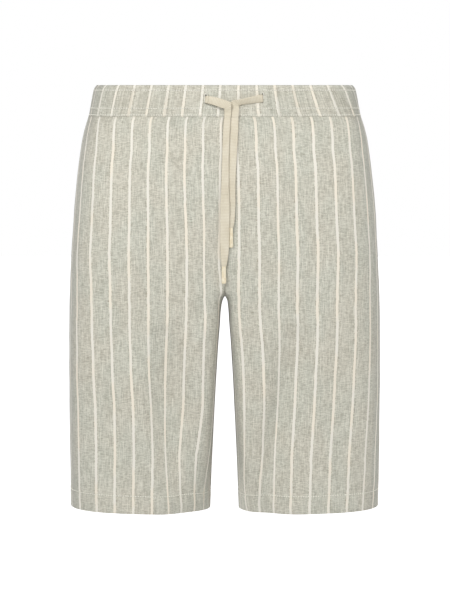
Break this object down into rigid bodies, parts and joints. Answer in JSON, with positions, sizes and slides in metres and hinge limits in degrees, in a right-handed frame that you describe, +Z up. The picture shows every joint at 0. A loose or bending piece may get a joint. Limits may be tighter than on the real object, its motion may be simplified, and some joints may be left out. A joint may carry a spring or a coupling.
{
  "type": "drawstring bermuda shorts",
  "caption": "Knee-length striped linen-look shorts, filled out with no wearer, with an elasticated waist, a flat drawstring and straight hemmed legs.",
  "frame": {"origin": "Centre of the waist opening, halfway up the waistband, where the wearer's waist holds the garment.", "axes": "+Z up, towards the waist's top edge. -Y is the front, with the drawstring. +X is the wearer's left leg."},
  "size_m": [0.3828, 0.2525, 0.5226],
  "materials": {
    "striped_cloth": "matte linen-look weave in sage grey with narrow upright cream stripes",
    "ribbed_tape": "matte cream tape with close cross ribs",
    "tip_wrap": "satin cream wrap, lightly waxed"
  },
  "bodies": {
    "root": {"back_left": "striped_cloth", "back_right": "striped_cloth", "drawstring_left": "ribbed_tape", "drawstring_right": "ribbed_tape", "front_left": "striped_cloth", "front_right": "striped_cloth", "hem_left": "striped_cloth", "hem_right": "striped_cloth", "tip_left": "tip_wrap", "tip_right": "tip_wrap", "waistband_back": "striped_cloth", "waistband_front": "striped_cloth"}
  },
  "joints": []
}
